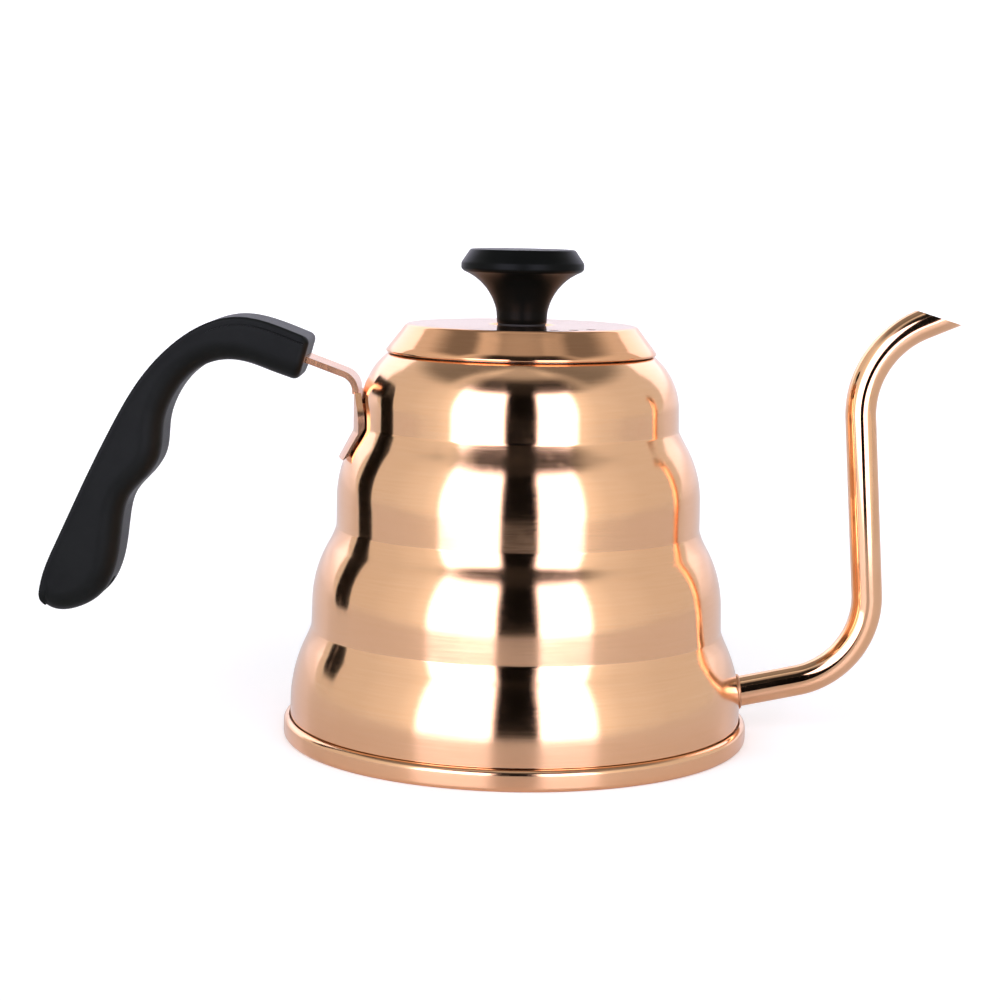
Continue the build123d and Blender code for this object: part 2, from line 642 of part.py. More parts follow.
# Node name, planes under the heads with z_dir towards the head, shank length.
SCREWS = (
    ("tang_screws", [plane.offset(ROOF) for plane in TANG_SCREW_PLANES], ROOF + STRAP_T + NUT_BAR_T),
    (
        "cover_screw",
        [Plane(origin=cover_screw_plane(COVER_HEAD_SEAT).origin, z_dir=-COVER_SCREW_DIR)],
        INSERT_END - COVER_HEAD_SEAT - 0.6,
    ),
    (
        "knob_screw",
        [Plane(origin=(0, 0, DISH_UNDER_Z - WASHER_T - LOCK_WASHER_T), z_dir=(0, 0, -1))],
        KNOB_SCREW_LENGTH,
    ),
)
screws = {}
for node, seats, shank_length in SCREWS:
    with BuildPart() as screw:
        for seat in seats:
            with BuildSketch(seat):
                Circle(SCREW_HEAD_R)
            extrude(amount=HEAD_H)
            rims = screw.edges(Select.LAST).filter_by(GeomType.CIRCLE)
            fillet(rims.sort_by(lambda edge: seat.to_local_coords(edge.center()).Z)[-1:], HEAD_ROUND)
            with BuildSketch(seat.offset(HEAD_H)):
                Rectangle(DRIVE_LENGTH, DRIVE_WIDTH)
                Rectangle(DRIVE_WIDTH, DRIVE_LENGTH)
            extrude(amount=-DRIVE_DEPTH, mode=Mode.SUBTRACT)
            with BuildSketch(seat):
                Circle(SCREW_R)
            extrude(amount=-shank_length)
    screws[node] = screw

# ---------------------------------------------------------------- export

NODES = {
    "body_shell": body_shell,
    "base_cap": base_cap,
    "heat_spreader": heat_spreader,
    "mouth_collar": mouth_collar,
    "spout_tube": spout_tube,
    "spout_weld": spout_weld,
    "handle_bracket": handle_bracket,
    "bracket_welds": bracket_welds,
    "grip": grip,
    "grip_cover": grip_cover,
    "cover_insert": cover_insert,
    "tang_nut_bar": tang_nut_bar,
    "lid_cover": lid_cover,
    "lid_skirt": lid_skirt,
    "knob": knob,
    "knob_gasket": knob_gasket,
    "knob_insert": knob_insert,
    "knob_washer": knob_washer,
    "knob_lock_washer": knob_lock_washer,
} | screws

os.makedirs("parts", exist_ok=True)
for node, piece in NODES.items():
    piece.part.label = node
    export_step(piece.part, f"parts/{node}.step")
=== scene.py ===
import math

import bpy
from mathutils import Matrix, Vector


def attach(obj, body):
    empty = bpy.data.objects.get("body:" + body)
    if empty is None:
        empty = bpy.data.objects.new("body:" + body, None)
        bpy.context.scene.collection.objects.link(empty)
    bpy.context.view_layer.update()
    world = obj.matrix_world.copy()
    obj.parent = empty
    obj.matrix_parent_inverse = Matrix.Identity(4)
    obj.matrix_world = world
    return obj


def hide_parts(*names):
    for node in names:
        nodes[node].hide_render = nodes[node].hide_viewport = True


# Stovetop gooseneck kettle. Lengths below are millimetres unless a name ends in _M.
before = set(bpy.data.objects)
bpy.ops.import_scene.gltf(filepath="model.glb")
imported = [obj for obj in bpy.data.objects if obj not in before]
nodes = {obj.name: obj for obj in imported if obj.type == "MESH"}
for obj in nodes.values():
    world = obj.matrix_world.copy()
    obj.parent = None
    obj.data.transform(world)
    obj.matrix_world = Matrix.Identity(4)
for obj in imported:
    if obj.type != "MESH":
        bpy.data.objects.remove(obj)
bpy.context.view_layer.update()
MM = 0.001
AROUND = 288                # steps round a turned surface
SHARP_ANGLE = 32.0          # degrees between faces from which their edge is shown sharp


# ---------------------------------------------------------------- outline helpers

def arc(start, tangent, end, count):
    """Points after start on the circular arc that leaves start along tangent and reaches end."""
    p, q = Vector(start), Vector(end)
    t = Vector(tangent).normalized()
    chord = q - p
    side = Vector((-t.y, t.x))
    lean = chord.dot(side)
    if abs(lean) < 1e-9:
        return [tuple(p.lerp(q, step / count)) for step in range(1, count + 1)]
    radius = chord.length_squared / (2 * lean)
    centre = p + side * radius
    turn = 2 * math.atan2(lean, chord.dot(t))
    points = []
    for step in range(1, count + 1):
        angle = turn * step / count
        spoke = p - centre
        points.append((
            centre.x + spoke.x * math.cos(angle) - spoke.y * math.sin(angle),
            centre.y + spoke.x * math.sin(angle) + spoke.y * math.cos(angle),
        ))
    return points


def arc_end_tangent(start, tangent, end):
    """Direction in which that arc arrives at its end."""
    chord = Vector(end) - Vector(start)
    t = Vector(tangent).normalized()
    turn = 2 * math.atan2(t.x * chord.y - t.y * chord.x, chord.dot(t))
    return (t.x * math.cos(turn) - t.y * math.sin(turn), t.x * math.sin(turn) + t.y * math.cos(turn))


EASING_STEPS = 6


def eased(points, corners):
    """The outline with the corners named by index rounded: {index: cut length}."""
    out = []
    count = len(points)
    for i, point in enumerate(points):
        cut = corners.get(i)
        if not cut:
            out.append(tuple(point))
            continue
        here = Vector(point)
        before = Vector(points[i - 1]) - here
        after = Vector(points[(i + 1) % count]) - here
        a = here + before.normalized() * min(cut, before.length * 0.49)
        b = here + after.normalized() * min(cut, after.length * 0.49)
        for step in range(EASING_STEPS + 1):
            s = step / EASING_STEPS
            out.append(tuple(a * (1 - s) ** 2 + here * 2 * s * (1 - s) + b * s ** 2))
    return out


def divided(points, longest, closed=False):
    """The outline with long straight stretches divided."""
    ends = points + points[:1] if closed else points
    out = []
    for a, b in zip(ends, ends[1:]):
        pieces = max(1, math.ceil((Vector(b) - Vector(a)).length / longest))
        out += [tuple(Vector(a).lerp(Vector(b), step / pieces)) for step in range(pieces)]
    return out if closed else out + [points[-1]]


def three_point_arc(a, b, c, count):
    """Points after a on the circle through a, b and c, up to c."""
    (ax, ay), (bx, by), (cx, cy) = a, b, c
    d = 2 * (ax * (by - cy) + bx * (cy - ay) + cx * (ay - by))
    ux = ((ax**2 + ay**2) * (by - cy) + (bx**2 + by**2) * (cy - ay) + (cx**2 + cy**2) * (ay - by)) / d
    uy = ((ax**2 + ay**2) * (cx - bx) + (bx**2 + by**2) * (ax - cx) + (cx**2 + cy**2) * (bx - ax)) / d
    radius = math.hypot(ax - ux, ay - uy)
    start = math.atan2(ay - uy, ax - ux)
    end = math.atan2(cy - uy, cx - ux)
    middle = math.atan2(by - uy, bx - ux)
    if not min(start, end) < middle < max(start, end):
        end += -2 * math.pi if end > start else 2 * math.pi
    return [(ux + radius * math.cos(start + (end - start) * s / count),
             uy + radius * math.sin(start + (end - start) * s / count)) for s in range(1, count + 1)]


# ---------------------------------------------------------------- mesh helpers

def new_mesh_piece(name, vertices, faces, sharp_angle=SHARP_ANGLE):
    """Object from vertices in millimetres, smooth except along sharp edges."""
    mesh = bpy.data.meshes.new(name)
    mesh.from_pydata([(x * MM, y * MM, z * MM) for x, y, z in vertices], [], faces)
    mesh.validate()
    mesh.shade_smooth()
    mesh.set_sharp_from_angle(angle=math.radians(sharp_angle))
    piece = bpy.data.objects.new(name, mesh)
    bpy.context.scene.collection.objects.link(piece)
    return piece


def revolved(name, outline, around=AROUND, sharp_angle=SHARP_ANGLE):
    """Turned piece about Z. outline is a loop of (radius, height) points, the outside on their right."""
    vertices, faces, rings = [], [], []
    for r, z in outline:
        if r < 1e-6:
            rings.append([len(vertices)])
            vertices.append((0.0, 0.0, z))
            continue
        rings.append(list(range(len(vertices), len(vertices) + around)))
        for k in range(around):
            angle = 2 * math.pi * k / around
            vertices.append((r * math.cos(angle), r * math.sin(angle), z))
    for low, high in zip(rings, rings[1:] + rings[:1]):
        if len(low) == 1 and len(high) == 1:
            continue
        for k in range(around):
            n = (k + 1) % around
            if len(low) == 1:
                faces.append((low[0], high[n], high[k]))
            elif len(high) == 1:
                faces.append((low[k], low[n], high[0]))
            else:
                faces.append((low[k], low[n], high[n], high[k]))
    return new_mesh_piece(name, vertices, faces, sharp_angle)


def drill(piece, start, run, radius, sides=40):
    """Round hole through a piece, from a point along a run."""
    turn = run.to_track_quat("Z", "Y")
    angles = [2 * math.pi * k / sides for k in range(sides)]
    ring = [turn @ Vector((radius * math.cos(angle), radius * math.sin(angle), 0)) for angle in angles]
    points = [(start + spoke) * MM for spoke in ring] + [(start + run + spoke) * MM for spoke in ring]
    faces = [(k, (k + 1) % sides, sides + (k + 1) % sides, sides + k) for k in range(sides)]
    faces += [tuple(range(sides - 1, -1, -1)), tuple(range(sides, 2 * sides))]
    cutter = bpy.data.meshes.new("drill")
    cutter.from_pydata(points, [], faces)
    tool = bpy.data.objects.new("drill", cutter)
    bpy.context.scene.collection.objects.link(tool)
    cut = piece.modifiers.new("hole", "BOOLEAN")
    cut.object = tool
    cut.operation = "DIFFERENCE"
    cut.solver = "EXACT"
    bpy.context.view_layer.update()
    piece.data = bpy.data.meshes.new_from_object(piece.evaluated_get(bpy.context.evaluated_depsgraph_get()))
    piece.modifiers.clear()
    bpy.data.objects.remove(tool)


# ---------------------------------------------------------------- material helpers

class Nodes:
    """Short spelling for building a material's node tree."""

    def __init__(self, name):
        self.material = bpy.data.materials.new(name)
        self.material.use_nodes = True
        self.tree = self.material.node_tree
        self.tree.nodes.clear()
        self.out = self.tree.nodes.new("ShaderNodeOutputMaterial")
        self.shader = self.tree.nodes.new("ShaderNodeBsdfPrincipled")
        self.link(self.shader.outputs[0], self.out.inputs["Surface"])

    def link(self, source, target):
        self.tree.links.new(source, target)

    def node(self, kind, inputs=None, **settings):
        made = self.tree.nodes.new("ShaderNode" + kind)
        for key, value in settings.items():
            setattr(made, key, value)
        for key, value in (inputs or {}).items():
            self.feed(made.inputs[key], value)
        return made

    def feed(self, socket, value):
        if isinstance(value, bpy.types.NodeSocket):
            self.link(value, socket)
        else:
            socket.default_value = value

    def math(self, operation, a, b=None):
        made = self.node("Math", operation=operation)
        for socket, value in zip(made.inputs, (a, b)):
            if value is not None:
                self.feed(socket, value)
        return made.outputs[0]

    def position(self):
        return self.node("TexCoord").outputs["Object"]

    def around_z(self, position, along, across):
        """Coordinates that change slowly round the Z axis and fast across it."""
        split = self.node("SeparateXYZ", {0: position})
        x, y, z = split.outputs
        squares = self.math("ADD", self.math("MULTIPLY", x, x), self.math("MULTIPLY", y, y))
        radius = self.math("SQRT", squares)
        safe = self.math("MAXIMUM", radius, 1e-5)
        cx = self.math("MULTIPLY", self.math("DIVIDE", x, safe), along)
        cy = self.math("MULTIPLY", self.math("DIVIDE", y, safe), along)
        # radius and height together, so that flat and upright stretches are both brushed
        down_slope = self.math("SUBTRACT", self.math("MULTIPLY", radius, 0.83), z)
        cz = self.math("MULTIPLY", down_slope, across)
        return self.node("CombineXYZ", {0: cx, 1: cy, 2: cz}).outputs[0]

    def noise(self, vector, scale, detail=2.0, roughness=0.5):
        inputs = {"Vector": vector, "Scale": scale, "Detail": detail, "Roughness": roughness}
        return self.node("TexNoise", inputs).outputs["Fac"]

    def spread(self, value, low, high, to_low, to_high):
        made = self.node("MapRange", {0: value, 1: low, 2: high, 3: to_low, 4: to_high})
        return made.outputs[0]

    def blend(self, factor, a, b):
        made = self.node("Mix", data_type="RGBA")
        self.feed(made.inputs[0], factor)
        self.feed(made.inputs[6], a)
        self.feed(made.inputs[7], b)
        return made.outputs[2]

    def bump(self, height, strength, distance, normal=None):
        made = self.node("Bump", {"Height": height, "Strength": strength, "Distance": distance})
        if normal is not None:
            self.link(normal, made.inputs["Normal"])
        return made.outputs[0]

    def set(self, **values):
        names = {"color": "Base Color", "metal": "Metallic", "rough": "Roughness", "normal": "Normal",
                 "aniso": "Anisotropic", "aniso_turn": "Anisotropic Rotation", "tangent": "Tangent",
                 "specular": "Specular IOR Level"}
        for key, value in values.items():
            self.feed(self.shader.inputs[names[key]], value)


def brushed_copper(name, low_rough, high_rough, aniso, light, dark, line=0.5, dust=0.05):
    """Copper plating on turned sheet: circumferential brush lines, faint tone changes and handling marks."""
    m = Nodes(name)
    place = m.position()
    fine = m.noise(m.around_z(place, 5.0, 9000.0), 1.0, 3.0, 0.6)
    broad = m.noise(m.around_z(place, 3.0, 1400.0), 1.0, 4.0, 0.62)
    cloud = m.noise(place, 22.0, 4.0, 0.55)
    marks = m.noise(place, 160.0, 3.0, 0.6)
    tone = m.math("ADD", m.math("MULTIPLY", broad, 0.55), m.math("MULTIPLY", cloud, 0.45))
    color = m.blend(m.spread(tone, 0.35, 0.65, 0.0, 1.0), dark, light)
    rough = m.math("ADD", m.spread(broad, 0.3, 0.7, low_rough, high_rough),
                   m.spread(marks, 0.55, 0.8, 0.0, dust))
    normal = m.bump(fine, line, 0.000010)
    normal = m.bump(broad, line * 0.5, 0.00002, normal)
    tangent = m.node("Tangent", direction_type="RADIAL", axis="Z").outputs[0]
    m.set(color=color, metal=1.0, rough=rough, aniso=aniso, aniso_turn=0.25, tangent=tangent, normal=normal)
    return m.material


LIGHT_COPPER = (0.94, 0.56, 0.33, 1)
DARK_COPPER = (0.91, 0.52, 0.29, 1)
body_copper = brushed_copper("body_copper", 0.09, 0.125, 0.96, LIGHT_COPPER, DARK_COPPER)
base_copper = brushed_copper("base_copper", 0.12, 0.18, 0.85, LIGHT_COPPER, DARK_COPPER)
lid_copper = brushed_copper("lid_copper", 0.07, 0.12, 0.6, (0.93, 0.505, 0.275, 1), (0.89, 0.46, 0.24, 1),
                            line=0.3)


def drawn_copper(name, low_rough, high_rough, light, dark):
    """Copper plating on drawn tube or pressed strap: nearly polished, with faint mottling and scuffs."""
    m = Nodes(name)
    place = m.position()
    cloud = m.noise(place, 60.0, 4.0, 0.55)
    scuffs = m.noise(m.node("Mapping", {"Vector": place, "Scale": (900, 900, 90)}).outputs[0], 1.0, 3.0, 0.6)
    color = m.blend(m.spread(cloud, 0.35, 0.65, 0.0, 1.0), dark, light)
    rough = m.math("ADD", m.spread(cloud, 0.3, 0.7, low_rough, high_rough),
                   m.spread(scuffs, 0.55, 0.8, 0.0, 0.06))
    m.set(color=color, metal=1.0, rough=rough, normal=m.bump(scuffs, 0.12, 0.00003))
    return m.material


spout_copper = drawn_copper("spout_copper", 0.06, 0.10, LIGHT_COPPER, DARK_COPPER)
bracket_copper = drawn_copper("bracket_copper", 0.14, 0.24, (0.91, 0.50, 0.28, 1), (0.87, 0.44, 0.23, 1))
weld_copper = drawn_copper("weld_copper", 0.28, 0.45, (0.80, 0.45, 0.26, 1), (0.55, 0.30, 0.17, 1))


def turned_steel(name, color_a, color_b, low_rough, high_rough, aniso=0.6):
    """Bare stainless or aluminium with lines round the axis."""
    m = Nodes(name)
    place = m.position()
    fine = m.noise(m.around_z(place, 2.0, 7000.0), 1.0, 3.0, 0.6)
    cloud = m.noise(place, 60.0, 4.0, 0.6)
    tangent = m.node("Tangent", direction_type="RADIAL", axis="Z").outputs[0]
    m.set(color=m.blend(m.spread(cloud, 0.35, 0.65, 0.0, 1.0), color_a, color_b), metal=1.0,
          rough=m.spread(fine, 0.3, 0.7, low_rough, high_rough), aniso=aniso, aniso_turn=0.25, tangent=tangent,
          normal=m.bump(fine, 0.4, 0.00002))
    return m.material


bare_steel = turned_steel("bare_steel", (0.50, 0.49, 0.47, 1), (0.60, 0.59, 0.57, 1), 0.18, 0.30)
dull_aluminium = turned_steel("dull_aluminium", (0.62, 0.62, 0.63, 1), (0.72, 0.72, 0.73, 1), 0.35, 0.5)
screw_steel = turned_steel("screw_steel", (0.42, 0.42, 0.42, 1), (0.55, 0.55, 0.54, 1), 0.22, 0.36)
insert_brass = turned_steel("insert_brass", (0.62, 0.42, 0.16, 1), (0.72, 0.50, 0.20, 1), 0.22, 0.34)


DARK_PLASTIC = (0.0044, 0.0052, 0.0044)
LIGHT_PLASTIC = (0.0078, 0.0090, 0.0076)
GRAIN_SCALE = 3600.0


def black_plastic(name, rough, shine, depth, grain):
    """Black moulded plastic: spark-eroded grain, flow mottling, hand-rubbed patches. depth scales its tone."""
    m = Nodes(name)
    place = m.position()
    grain_noise = m.noise(place, GRAIN_SCALE, 2.0, 0.6)
    pits = m.node("TexVoronoi", {"Vector": place, "Scale": GRAIN_SCALE * 0.8}).outputs["Distance"]
    cloud = m.noise(place, 45.0, 4.0, 0.6)
    rubbed = m.noise(place, 18.0, 2.0, 0.5)
    dark, light = (tuple(c * depth for c in tone) + (1,) for tone in (DARK_PLASTIC, LIGHT_PLASTIC))
    color = m.blend(m.spread(cloud, 0.3, 0.7, 0.0, 1.0), dark, light)
    height = m.math("ADD", m.math("MULTIPLY", grain_noise, 0.6), m.math("MULTIPLY", pits, 0.4))
    m.set(color=color, rough=m.spread(rubbed, 0.35, 0.7, rough - 0.04, rough + 0.06), specular=shine,
          normal=m.bump(height, grain, 0.00006))
    return m.material


handle_plastic = black_plastic("handle_plastic", 0.42, 0.11, 0.85, grain=0.6)
knob_plastic = black_plastic("knob_plastic", 0.34, 0.07, 0.45, grain=0.22)


def moulded_rubber(name):
    """Dull black rubber with a faint bloom."""
    m = Nodes(name)
    place = m.position()
    cloud = m.noise(place, 300.0, 3.0, 0.6)
    m.set(color=m.blend(cloud, (0.012, 0.012, 0.012, 1), (0.025, 0.024, 0.023, 1)),
          rough=m.spread(cloud, 0.3, 0.7, 0.6, 0.8), normal=m.bump(cloud, 0.2, 0.00005))
    return m.material


gasket_rubber = moulded_rubber("gasket_rubber")


# ---------------------------------------------------------------- body shell

SHEET = 0.6                 # thickness of the body's wall
FLOOR_Z = 4.0
# each tier from its foot: foot, end of the straight wall, middle of the shoulder, groove above it
TIERS = (
    ((70.9, 7.0), (70.9, 10.5), (66.3, 30.3), (64.6, 34.6)),
    ((64.5, 35.0), (64.3, 43.0), (59.2, 61.0), (57.0, 66.2)),
    ((56.9, 66.6), (56.85, 75.5), (52.0, 93.0), (49.7, 97.4)),
)
FLOOR_EDGE = (67.9, FLOOR_Z)
TOP_WALL = ((49.6, 97.8), (49.45, 104.5))
TOP_SHOULDER = (42.0, 120.0)
MOUTH = (39.4, 120.6)
CREASE_CUT = 0.55           # how softly the sheet turns in the grooves between the tiers
FOOT_CUT = CREASE_CUT * 0.6


def direction(a, b):
    """Unit vector from a to b."""
    return tuple((Vector(b) - Vector(a)).normalized())


def vessel_outline():
    """Outside of the body from the middle of its floor to the mouth, and the corners to ease."""
    points = [(0.0, FLOOR_Z), FLOOR_EDGE]
    points += arc(FLOOR_EDGE, (1, 0), TIERS[0][0], 10)
    corners = {}
    for index, (foot, wall_top, turn, crease) in enumerate(TIERS):
        if index:
            corners[len(points) - 1] = CREASE_CUT
            points.append(foot)
            corners[len(points) - 1] = FOOT_CUT
        points.append(wall_top)
        along = direction(foot, wall_top)
        points += arc(wall_top, along, turn, 22)
        along = arc_end_tangent(wall_top, along, turn)
        points += arc(turn, along, crease, 9)
    corners[len(points) - 1] = CREASE_CUT
    points.append(TOP_WALL[0])
    corners[len(points) - 1] = FOOT_CUT
    points.append(TOP_WALL[1])
    along = direction(*TOP_WALL)
    points += arc(TOP_WALL[1], along, TOP_SHOULDER, 26)
    along = arc_end_tangent(TOP_WALL[1], along, TOP_SHOULDER)
    points += arc(TOP_SHOULDER, along, MOUTH, 8)
    return points, corners


def inset(points, amount):
    """The same open outline, moved to its left by the sheet's thickness."""
    out = []
    for i, point in enumerate(points):
        a = Vector(points[max(i - 1, 0)])
        b = Vector(points[min(i + 1, len(points) - 1)])
        t = (b - a).normalized()
        out.append((max(point[0] - t.y * amount, 0.0), point[1] + t.x * amount))
    return out


outer, soft_corners = vessel_outline()
outer = divided(eased(outer, soft_corners), 1.4)
inner = inset(outer, SHEET)
inner = inner[:-1:3] + inner[-1:]       # the inside is seen less and needs fewer rings
body = revolved("body_skin", outer + inner[::-1])
body.data.materials.append(body_copper)
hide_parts("body_shell")
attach(body, "kettle")

# ---------------------------------------------------------------- base ring

# flat underside, rounded rim with a turned-in lip, and back along the inside
base_outline = [(0.0, 0.0), (71.4, 0.0)]
base_outline += arc((71.4, 0.0), (1, 0), (73.0, 1.6), 10)
base_outline.append((73.0, 4.8))
base_outline += arc((73.0, 4.8), (0, 1), (71.3, 6.5), 10)
base_outline += [(71.3, 5.7), (72.2, 4.5), (72.2, 1.6)]
base_outline += arc((72.2, 1.6), (0, -1), (71.4, 0.8), 4)
base_outline.append((0.0, 0.8))
base = revolved("base_ring", divided(base_outline, 3.0))
base.data.materials.append(base_copper)
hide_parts("base_cap")
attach(base, "kettle")

# ---------------------------------------------------------------- spout

ROOT = (70.6, 14.75)        # where the tube's axis leaves the body
ROOT_SLOPE = 12.0           # degrees
ROOT_RUN = 18.8             # straight run outside the body, and the part inside its wall
INSIDE_RUN = 2.2
LOWER_R = 27.0              # lower bend
LEAN = 4.2                  # degrees that the upright leans back
UPRIGHT = 55.5
UPPER_R = 29.8              # upper bend
TIP_SLOPE = 23.0
TIP_RUN = 14.0
TIP_BACK = (123.0, 136.0)   # ends of the slanted cut
TIP_LIP = (135.7, 132.1)
TIP_X = 110.0               # the cut touches nothing behind this
TUBE_R = 4.8
BORE_R = 4.0
DRILL_GAP = 0.02            # the hole in the body stays just inside the bore


def spout_path():
    """Stations along the tube's axis, as (x, z, slope in degrees)."""
    slope = ROOT_SLOPE
    x = ROOT[0] - INSIDE_RUN * math.cos(math.radians(slope))
    z = ROOT[1] - INSIDE_RUN * math.sin(math.radians(slope))
    stations = [(x, z, slope)]
    runs = (
        (ROOT_RUN + INSIDE_RUN, 0.0, 12),
        (LOWER_R, 90 + LEAN - ROOT_SLOPE, 40),
        (UPRIGHT, 0.0, 24),
        (UPPER_R, TIP_SLOPE - 90 - LEAN, 40),
        (TIP_RUN, 0.0, 12),
    )
    for size, turn, count in runs:
        for _ in range(count):
            half = math.radians(turn / count / 2)
            length = size / count if turn == 0 else 2 * size * math.sin(abs(half))
            heading = math.radians(slope) + half
            x += length * math.cos(heading)
            z += length * math.sin(heading)
            slope += turn / count
            stations.append((x, z, slope))
    return stations


def tip_limited(x, z, slope, height):
    """How far a point, a height above the tube's axis, is past the slanted cut, and how fast it gets there."""
    px = x - height * math.sin(math.radians(slope))
    pz = z + height * math.cos(math.radians(slope))
    cut = Vector((TIP_LIP[0] - TIP_BACK[0], TIP_LIP[1] - TIP_BACK[1])).normalized()
    normal = Vector((-cut.y, cut.x))
    beyond = (Vector((px, pz)) - Vector(TIP_BACK)).dot(normal)
    ahead = Vector((math.cos(math.radians(slope)), math.sin(math.radians(slope))))
    return beyond, ahead.dot(normal)


def tube(name, path, outer_r, bore_r, sides=72):
    """Tube whose last rings slide back onto the slanted cut."""
    vertices, faces = [], []
    rings = []
    for radius in (outer_r, bore_r):
        shell_rings = []
        for x, z, slope in path:
            ring = []
            for k in range(sides):
                angle = 2 * math.pi * k / sides
                height = radius * math.cos(angle)
                beyond, rate = tip_limited(x, z, slope, height)
                slide = beyond / rate if beyond > 0 and x > TIP_X and rate > 0.05 else 0.0
                px = x - height * math.sin(math.radians(slope)) - slide * math.cos(math.radians(slope))
                pz = z + height * math.cos(math.radians(slope)) - slide * math.sin(math.radians(slope))
                ring.append(len(vertices))
                vertices.append((px, radius * math.sin(angle), pz))
            shell_rings.append(ring)
        rings.append(shell_rings)
    outside, inside = rings
    for i in range(len(path) - 1):
        for k in range(sides):
            n = (k + 1) % sides
            faces.append((outside[i][k], outside[i + 1][k], outside[i + 1][n], outside[i][n]))
            faces.append((inside[i][k], inside[i][n], inside[i + 1][n], inside[i + 1][k]))
    for i, flip in ((0, True), (-1, False)):
        for k in range(sides):
            n = (k + 1) % sides
            face = (outside[i][k], inside[i][k], inside[i][n], outside[i][n])
            faces.append(face[::-1] if flip else face)
    return new_mesh_piece(name, vertices, faces, 40)


# way from the vessel into the spout
root_run = Vector((math.cos(math.radians(ROOT_SLOPE)), 0, math.sin(math.radians(ROOT_SLOPE)))) * 8
drill(body, Vector((ROOT[0], 0, ROOT[1])) - root_run, root_run * 1.4, BORE_R - DRILL_GAP)
spout = tube("spout_pipe", spout_path(), TUBE_R, BORE_R)
spout.data.materials.append(spout_copper)
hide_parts("spout_tube")
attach(spout, "kettle")

# ---------------------------------------------------------------- lid

LID_UNDER = 129.1
LID_TOP = 129.7
LID_DISH = 129.2            # shallow dish under the knob's foot
LID_RIM = (42.0, 121.6)
VENT_R = 1.5
VENT_PITCH_R = 30.5
VENT_ANGLES = (-47.0, -59.3, -71.6)
# from the rim up the cone's inside, in to the screw's hole, out along the top and down the cone
lid_outline = [(41.27, 121.05), (41.09, 121.8), (35.5, LID_UNDER), (10.4, LID_UNDER), (9.8, 128.6),
               (2.2, 128.6), (2.2, LID_DISH), (9.8, LID_DISH), (10.4, LID_TOP), (35.0, LID_TOP)]
lid_outline += arc((35.0, LID_TOP), (1, 0), (36.35, 128.95), 8)
lid_outline.append(LID_RIM)
lid_outline += arc(LID_RIM, (0.4, -1), (41.4, 120.85), 8)
lid = revolved("lid_plate", divided(lid_outline, 2.0, closed=True)[::-1])
lid.data.materials.append(lid_copper)
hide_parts("lid_cover")
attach(lid, "lid")

# vent holes, cut through the plate
for angle in VENT_ANGLES:
    across = Vector((math.cos(math.radians(angle)), math.sin(math.radians(angle)), 0.0)) * VENT_PITCH_R
    drill(lid, across + Vector((0, 0, 127.5)), Vector((0, 0, 3.5)), VENT_R)

# ---------------------------------------------------------------- knob

KNOB_WAIST = (7.95, 133.6)
# hole for the insert, foot, waist, flared neck, brow, rim and top
knob_outline = [(0.0, 138.6), (3.0, 138.6), (3.0, 130.0), (7.4, 130.0), (7.7, 130.3), KNOB_WAIST]
knob_outline += three_point_arc(KNOB_WAIST, (11.7, 141.4), (18.3, 146.05), 26)
knob_corners = {len(knob_outline) - 1: 0.5}
knob_outline += [(19.05, 146.9), (19.05, 148.7), (16.2, 152.9), (0.0, 152.9)]
for step, cut_length in ((1, 0.35), (2, 0.45), (3, 0.6)):
    knob_corners[len(knob_outline) - 5 + step] = cut_length
knob = revolved("knob_body", divided(eased(knob_outline, knob_corners), 2.5), around=192, sharp_angle=50)
knob.data.materials.append(knob_plastic)
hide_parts("knob")
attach(knob, "lid")

# ---------------------------------------------------------------- finishes on the CAD nodes

FINISH = {
    "heat_spreader": dull_aluminium, "mouth_collar": bare_steel, "spout_weld": weld_copper,
    "handle_bracket": bracket_copper, "bracket_welds": weld_copper, "grip": handle_plastic,
    "grip_cover": handle_plastic, "tang_screws": screw_steel, "tang_nut_bar": screw_steel,
    "cover_screw": screw_steel, "cover_insert": insert_brass, "lid_skirt": bare_steel,
    "knob_gasket": gasket_rubber, "knob_insert": insert_brass, "knob_screw": screw_steel,
    "knob_washer": screw_steel, "knob_lock_washer": screw_steel, "body_shell": body_copper,
    "base_cap": base_copper, "spout_tube": spout_copper, "lid_cover": lid_copper, "knob": knob_plastic,
}
for name, material in FINISH.items():
    nodes[name].data.materials.clear()
    nodes[name].data.materials.append(material)

# ---------------------------------------------------------------- floor, light, camera

FLOOR_HALF = 3000.0
FLOOR_NEAR = -520.0
FLOOR_FADE_M = (-0.50, -0.33)   # from here to here the floor comes in


